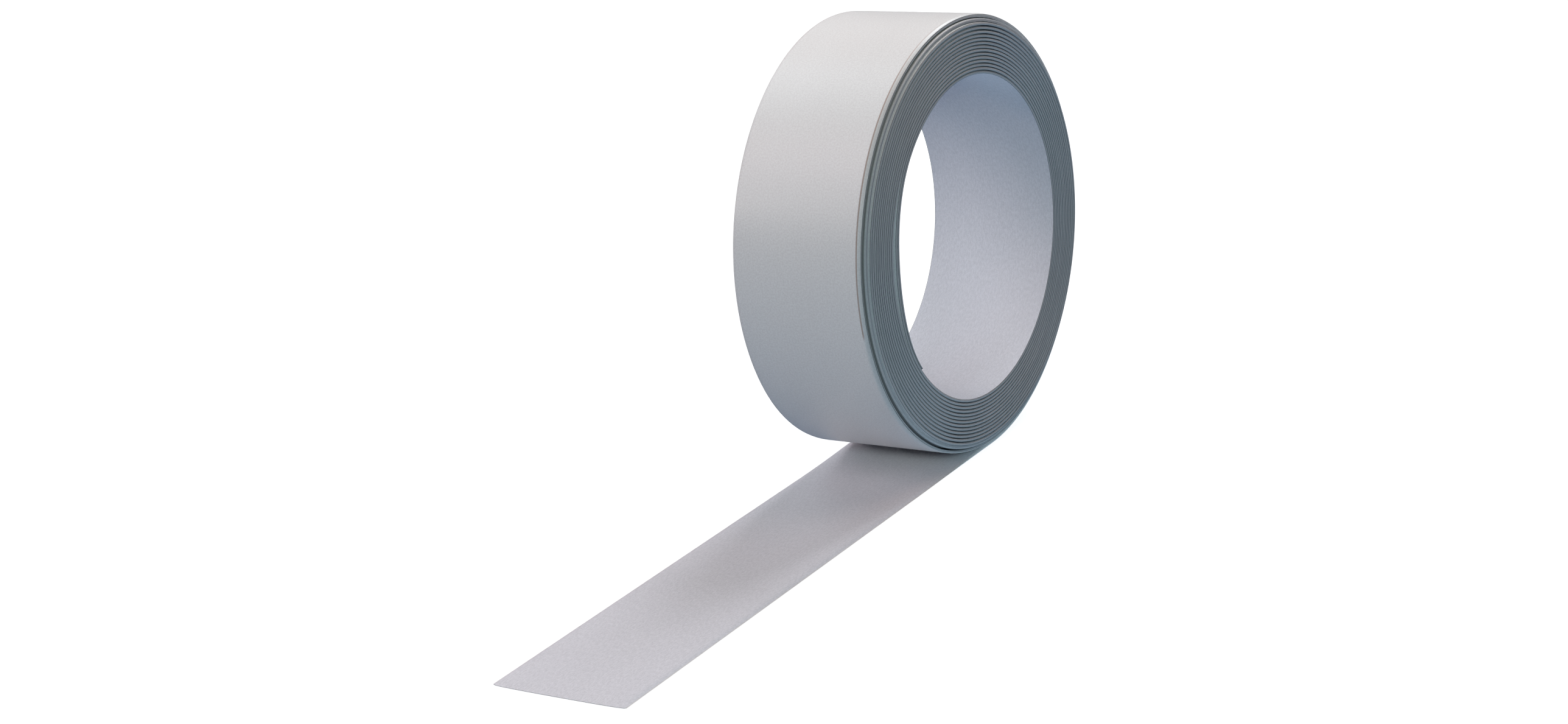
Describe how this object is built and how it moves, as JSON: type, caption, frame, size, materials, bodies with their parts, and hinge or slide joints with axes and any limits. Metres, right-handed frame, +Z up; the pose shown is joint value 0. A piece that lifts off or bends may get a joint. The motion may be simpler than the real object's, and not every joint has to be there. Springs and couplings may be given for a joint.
{
  "type": "magnetic tape roll",
  "caption": "Coreless roll of flexible white-faced magnetic tape standing on its rim, with a flat tail pulled off along the floor and a slack outer wrap around the wound coil.",
  "frame": {"origin": "middle of the outline on the floor, between the tail's free end and the back of the roll", "axes": "+X along the roll's axis towards the face that the coil stands proud of, -Y along the tail to its free end, +Z up"},
  "size_m": [0.0362, 0.2153, 0.1089],
  "materials": {
    "face_film": "warm white satin vinyl film with a faint grain",
    "magnet_strip": "matt blue-grey bonded magnet rubber, seen at its slit edges",
    "release_liner": "matt pale lilac-grey liner with a fine grain"
  },
  "bodies": {
    "tail": {"tail_face_film": "face_film", "tail_magnet_strip": "magnet_strip", "tail_release_liner": "release_liner"},
    "outer_wrap": {"wrap_face_film": "face_film", "wrap_magnet_strip": "magnet_strip", "wrap_release_liner": "release_liner"},
    "coil": {"coil_face_film": "face_film", "coil_magnet_strip": "magnet_strip", "coil_release_liner": "release_liner"}
  },
  "joints": [
    {"name": "roll_travel", "type": "slide", "parent": "tail", "child": "outer_wrap", "axis": [0, -1, 0], "range_m": [0, 0.13], "deforming": ["tail_face_film", "tail_magnet_strip", "tail_release_liner"]},
    {"name": "coil_turn", "type": "hinge", "parent": "outer_wrap", "child": "coil", "pos_m": [0, 0.05328, 0.05445], "axis": [1, 0, 0], "range_deg": [0, 138]}
  ],
  "couplings": [
    {"joint": "coil_turn", "follows": "roll_travel", "rad_per_m": 18.45}
  ]
}
